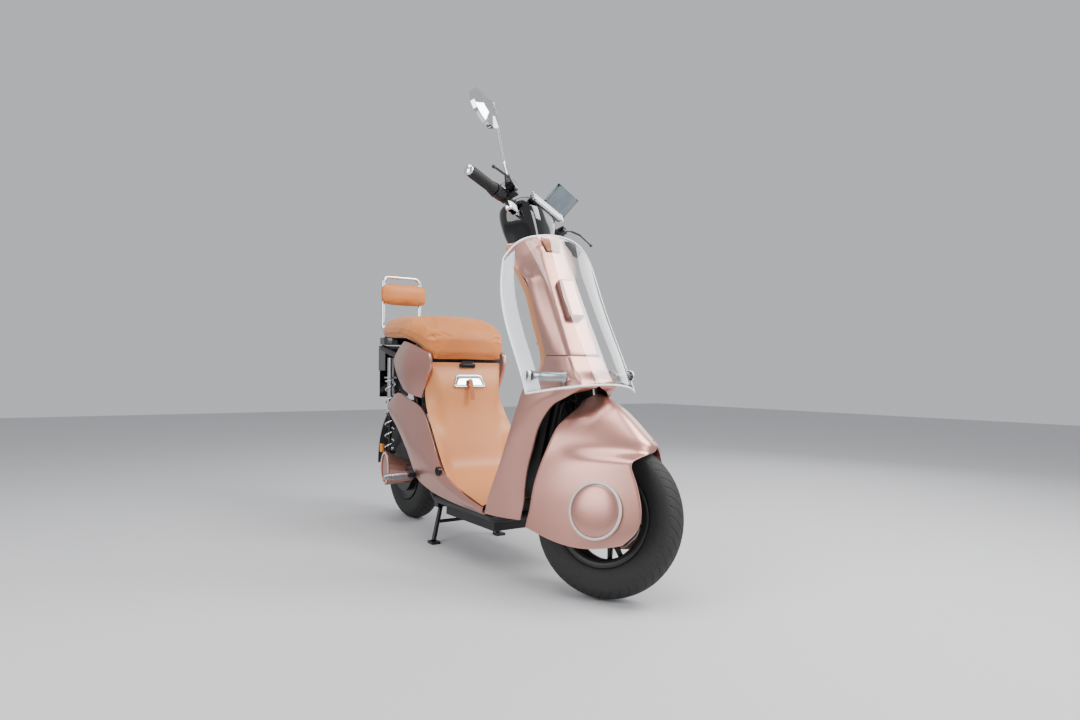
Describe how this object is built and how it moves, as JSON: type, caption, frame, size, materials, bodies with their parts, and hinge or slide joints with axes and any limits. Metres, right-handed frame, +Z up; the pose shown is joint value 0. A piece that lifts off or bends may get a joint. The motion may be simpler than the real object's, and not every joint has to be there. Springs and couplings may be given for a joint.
{
  "type": "electric moped scooter",
  "caption": "Step-through moped scooter with raked fork under a full front mask, underbone body, long saddle with backrest, clear windshield and centre stand.",
  "frame": {"origin": "on the ground under the middle of the bounding box, on the frame's centre plane", "axes": "+X forward along the vehicle, +Y to the rider's left, +Z up"},
  "size_m": [1.7008, 0.6196, 1.3596],
  "materials": {
    "painted_rose": "rose metallic paint, satin clear coat",
    "black_gloss": "high gloss black",
    "frame_black": "black powder coat",
    "fork_silver": "machined and lacquered",
    "control_black": "fine grained black plastic",
    "bar_black": "satin black",
    "grip_rubber": "moulded grip rubber",
    "tyre_rubber": "matt tread rubber",
    "tan_leather": "smooth tan leatherette",
    "tan_plastic": "tan moulded plastic",
    "chrome": "bright chrome",
    "mirror_silver": "silvered glass",
    "clear_screen": "clear polished acrylic",
    "lamp_white": "clear lamp lens",
    "lamp_amber": "amber reflector",
    "lamp_red": "red lens",
    "grey_plastic": "grey housing"
  },
  "bodies": {
    "chassis": {"main_frame": "frame_black", "leg_shield_upper": "painted_rose", "leg_shield_lower": "painted_rose", "leg_shield_inner": "tan_plastic", "floor_tub": "tan_plastic", "side_box_left": "painted_rose", "side_box_right": "painted_rose", "side_cover_left": "painted_rose", "side_cover_right": "painted_rose", "belly_pan": "control_black", "battery_and_controller": "control_black", "column_box": "painted_rose", "column_patch": "tan_plastic", "windshield": "clear_screen", "windshield_posts": "chrome", "latch_plate": "chrome", "seat_strap": "tan_leather", "storage_box": "control_black", "rear_mudguard": "control_black", "tail_cover": "black_gloss", "tail_light": "lamp_red", "pillion_pad": "tan_leather", "backrest_tube": "chrome", "backrest_pad": "tan_leather", "side_fittings": "frame_black", "shock_bodies": "fork_silver", "shock_springs": "fork_silver"},
    "steering": {"steering_stem": "frame_black", "front_mask": "painted_rose", "cowl": "black_gloss", "chrome_trims": "chrome", "lamp_lenses": "lamp_white", "handlebar": "bar_black", "left_grip": "grip_rubber", "bar_controls": "control_black"},
    "fork_lower": {"fork_lowers": "fork_silver"},
    "front_wheel": {"front_tyre": "tyre_rubber", "front_rim": "frame_black"},
    "swingarm_body": {"swingarm": "frame_black", "swingarm_pod": "painted_rose", "side_reflectors": "lamp_amber"},
    "rear_wheel": {"rear_tyre": "tyre_rubber", "rear_hub_motor": "frame_black"},
    "shock_rod": {"shock_rods": "frame_black"},
    "seat": {"saddle": "tan_leather", "seat_pan": "control_black"},
    "throttle": {"throttle_grip": "grip_rubber"},
    "lever_right": {"brake_lever_right": "control_black"},
    "lever_left": {"brake_lever_left": "control_black"},
    "mirror_arm": {"mirror_stalk": "chrome"},
    "mirror_head": {"mirror_housing": "chrome", "mirror_glass": "mirror_silver"},
    "display": {"display_panel": "grey_plastic"},
    "starter": {"start_button": "control_black"},
    "horn": {"horn_button": "control_black"},
    "power": {"power_button": "lamp_red"},
    "hook": {"bag_hook": "grey_plastic"},
    "stand": {"centre_stand": "frame_black"},
    "peg_right": {"footpeg_right": "chrome"},
    "peg_left": {"footpeg_left": "chrome"}
  },
  "joints": [
    {"name": "steer", "type": "hinge", "parent": "chassis", "child": "steering", "pos_m": [0.64219, 0, 0.19558], "axis": [-0.4226, 0, 0.9063], "range_deg": [-62.66, 5.34]},
    {"name": "fork_travel", "type": "slide", "parent": "steering", "child": "fork_lower", "axis": [-0.4226, 0, 0.9063], "range_m": [0, 0.016], "stiffness_N_per_m": 9000, "springref_m": -0.03},
    {"name": "front_wheel_spin", "type": "hinge", "parent": "fork_lower", "child": "front_wheel", "pos_m": [0.65992, 0.01069, 0.20385], "axis": [-0.4347, 0.8775, -0.2027], "continuous": true},
    {"name": "swing", "type": "hinge", "parent": "chassis", "child": "swingarm_body", "pos_m": [-0.2076, 0, 0.235], "axis": [0, 1, 0], "range_deg": [0, 4.5], "stiffness_Nm_per_rad": 2600, "springref_deg": -6.88},
    {"name": "rear_wheel_spin", "type": "hinge", "parent": "swingarm_body", "child": "rear_wheel", "pos_m": [-0.5806, 0, 0.205], "axis": [0, 1, 0], "continuous": true},
    {"name": "shock_travel", "type": "slide", "parent": "chassis", "child": "shock_rod", "axis": [0, 0, 1], "range_m": [0, 0.0315], "deforming": ["shock_springs"]},
    {"name": "seat_lid", "type": "hinge", "parent": "chassis", "child": "seat", "pos_m": [-0.1196, 0, 0.611], "axis": [0, 1, 0], "range_deg": [0, 55]},
    {"name": "throttle_turn", "type": "hinge", "parent": "steering", "child": "throttle", "pos_m": [0.38497, -0.22362, 1.12351], "axis": [-0.4347, 0.8775, -0.2027], "range_deg": [-70, 0], "stiffness_Nm_per_rad": 0.4, "springref_deg": 14.32},
    {"name": "brake_right", "type": "hinge", "parent": "steering", "child": "lever_right", "pos_m": [0.36006, -0.10246, 1.1119], "axis": [-0.4226, 0, 0.9063], "range_deg": [-14, 0], "stiffness_Nm_per_rad": 3, "springref_deg": 5.73},
    {"name": "brake_left", "type": "hinge", "parent": "steering", "child": "lever_left", "pos_m": [0.22705, 0.16605, 1.04987], "axis": [-0.4226, 0, 0.9063], "range_deg": [0, 14], "stiffness_Nm_per_rad": 3, "springref_deg": -5.73},
    {"name": "mirror_arm_turn", "type": "hinge", "parent": "steering", "child": "mirror_arm", "pos_m": [0.35558, -0.12653, 1.16531], "axis": [-0.4226, 0, 0.9063], "range_deg": [-30, 60]},
    {"name": "mirror_tilt", "type": "hinge", "parent": "mirror_arm", "child": "mirror_head", "pos_m": [0.41598, -0.21588, 1.33471], "axis": [0.701, -0.6374, -0.3198], "range_deg": [-12, 12]},
    {"name": "display_tilt", "type": "hinge", "parent": "steering", "child": "display", "pos_m": [0.24254, 0.1064, 1.10377], "axis": [-0.4347, 0.8775, -0.2027], "range_deg": [-12, 12]},
    {"name": "start_press", "type": "slide", "parent": "steering", "child": "starter", "axis": [0.7953, 0.4796, 0.3708], "range_m": [0, 0.002], "stiffness_N_per_m": 800, "springref_m": -0.001},
    {"name": "horn_press", "type": "slide", "parent": "steering", "child": "horn", "axis": [0.7953, 0.4796, 0.3708], "range_m": [0, 0.002], "stiffness_N_per_m": 800, "springref_m": -0.001},
    {"name": "power_press", "type": "slide", "parent": "chassis", "child": "power", "axis": [1, 0, 0], "range_m": [0, 0.002], "stiffness_N_per_m": 800, "springref_m": -0.001},
    {"name": "hook_fold", "type": "hinge", "parent": "chassis", "child": "hook", "pos_m": [0.3554, 0, 0.708], "axis": [0, 1, 0], "range_deg": [0, 70]},
    {"name": "stand_fold", "type": "hinge", "parent": "chassis", "child": "stand", "pos_m": [-0.1566, 0, 0.126], "axis": [0, 1, 0], "range_deg": [0, 80]},
    {"name": "peg_fold_right", "type": "hinge", "parent": "chassis", "child": "peg_right", "pos_m": [-0.1886, -0.192, 0.228], "axis": [1, 0, 0], "range_deg": [-80, 0]},
    {"name": "peg_fold_left", "type": "hinge", "parent": "chassis", "child": "peg_left", "pos_m": [-0.1886, 0.192, 0.228], "axis": [1, 0, 0], "range_deg": [0, 80]}
  ],
  "couplings": [
    {"joint": "shock_travel", "follows": "swing", "m_per_rad": 0.393}
  ]
}
